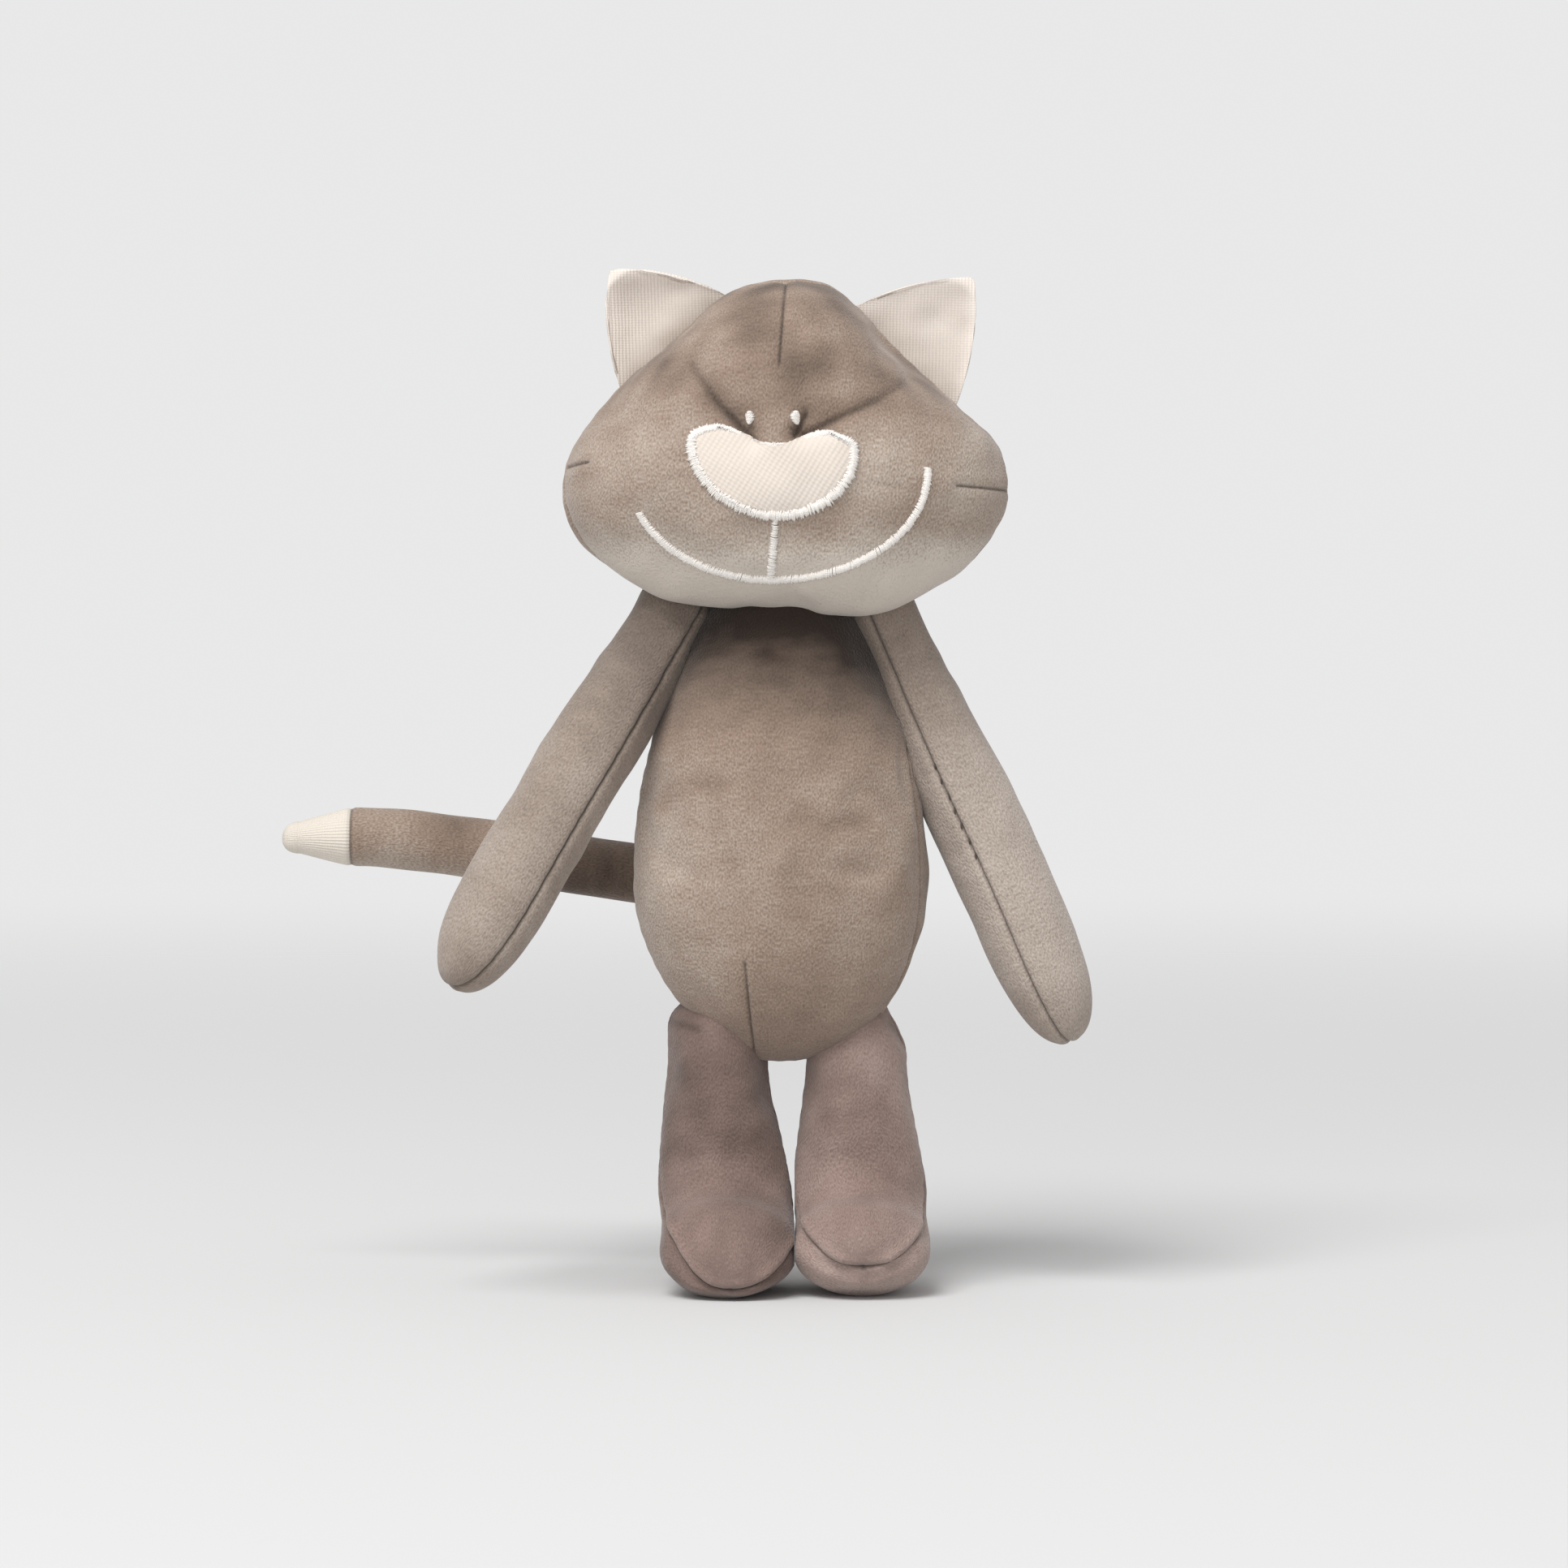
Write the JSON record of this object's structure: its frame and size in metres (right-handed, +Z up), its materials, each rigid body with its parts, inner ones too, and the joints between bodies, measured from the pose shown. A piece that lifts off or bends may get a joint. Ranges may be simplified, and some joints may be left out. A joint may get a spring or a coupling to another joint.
{
  "type": "plush cat",
  "caption": "Grey velour plush cat with cream ears, nose patch and tail tip, a stitched smile, long arms and a slim sideways tail",
  "frame": {"origin": "On the floor between the soles, straight below the middle of the neck", "axes": "+Z is up, the face looks along -Y and the cat's own left arm is on +X"},
  "size_m": [0.2792, 0.1212, 0.349],
  "materials": {
    "velour": "matte",
    "leg_velour": "matte",
    "cream_knit": "matte",
    "white_thread": "matte",
    "grey_thread": "matte",
    "filling": "matte"
  },
  "bodies": {
    "torso": {"body_front_panel": "velour", "body_back_panel": "velour", "body_stuffing": "filling", "neck_stitching": "grey_thread"},
    "head": {"head_front_panel": "velour", "head_back_panel": "velour", "head_stuffing": "filling", "nose_patch": "cream_knit", "nose_border_stitching": "white_thread", "mouth_stitching": "white_thread", "philtrum_stitching": "white_thread", "left_eye_stitching": "white_thread", "right_eye_stitching": "white_thread"},
    "left_ear": {"left_ear_front_panel": "cream_knit", "left_ear_back_panel": "velour"},
    "right_ear": {"right_ear_front_panel": "cream_knit", "right_ear_back_panel": "velour"},
    "left_arm": {"left_arm_outer_panel": "velour", "left_arm_inner_panel": "velour", "left_arm_stuffing": "filling", "left_arm_closing_stitches": "grey_thread"},
    "right_arm": {"right_arm_outer_panel": "velour", "right_arm_inner_panel": "velour", "right_arm_stuffing": "filling"},
    "left_leg": {"left_leg_front_panel": "leg_velour", "left_leg_sole_panel": "leg_velour", "left_leg_stuffing": "filling"},
    "right_leg": {"right_leg_front_panel": "leg_velour", "right_leg_sole_panel": "leg_velour", "right_leg_stuffing": "filling"},
    "tail": {"tail_tube": "velour", "tail_tip": "cream_knit", "tail_stuffing": "filling"}
  },
  "joints": [
    {"name": "neck_turn", "type": "hinge", "parent": "torso", "child": "head", "pos_m": [0, 0, 0.23628], "axis": [0, 0, 1], "range_deg": [-30, 30]},
    {"name": "left_shoulder_swing", "type": "hinge", "parent": "torso", "child": "left_arm", "pos_m": [0.04022, 0, 0.22878], "axis": [-1, 0, 0], "range_deg": [-40, 100]},
    {"name": "right_shoulder_swing", "type": "hinge", "parent": "torso", "child": "right_arm", "pos_m": [-0.03964, 0, 0.22878], "axis": [-1, 0, 0], "range_deg": [-34, 80]},
    {"name": "left_hip_swing", "type": "hinge", "parent": "torso", "child": "left_leg", "pos_m": [0.0245, 0, 0.0665], "axis": [-1, 0, 0], "range_deg": [-35, 90]},
    {"name": "right_hip_swing", "type": "hinge", "parent": "torso", "child": "right_leg", "pos_m": [-0.0245, 0, 0.0665], "axis": [-1, 0, 0], "range_deg": [-35, 90]},
    {"name": "tail_swing", "type": "hinge", "parent": "torso", "child": "tail", "pos_m": [0, 0.05032, 0.13728], "axis": [0, 0, -1], "range_deg": [-4, 150]},
    {"name": "left_ear_flop", "type": "hinge", "parent": "head", "child": "left_ear", "pos_m": [0.04366, 0, 0.3253], "axis": [0.7477, 0, -0.664], "range_deg": [-15, 15], "stiffness_Nm_per_rad": 0.001},
    {"name": "right_ear_flop", "type": "hinge", "parent": "head", "child": "right_ear", "pos_m": [-0.04366, 0, 0.3253], "axis": [0.7477, 0, 0.664], "range_deg": [-15, 15], "stiffness_Nm_per_rad": 0.001}
  ]
}
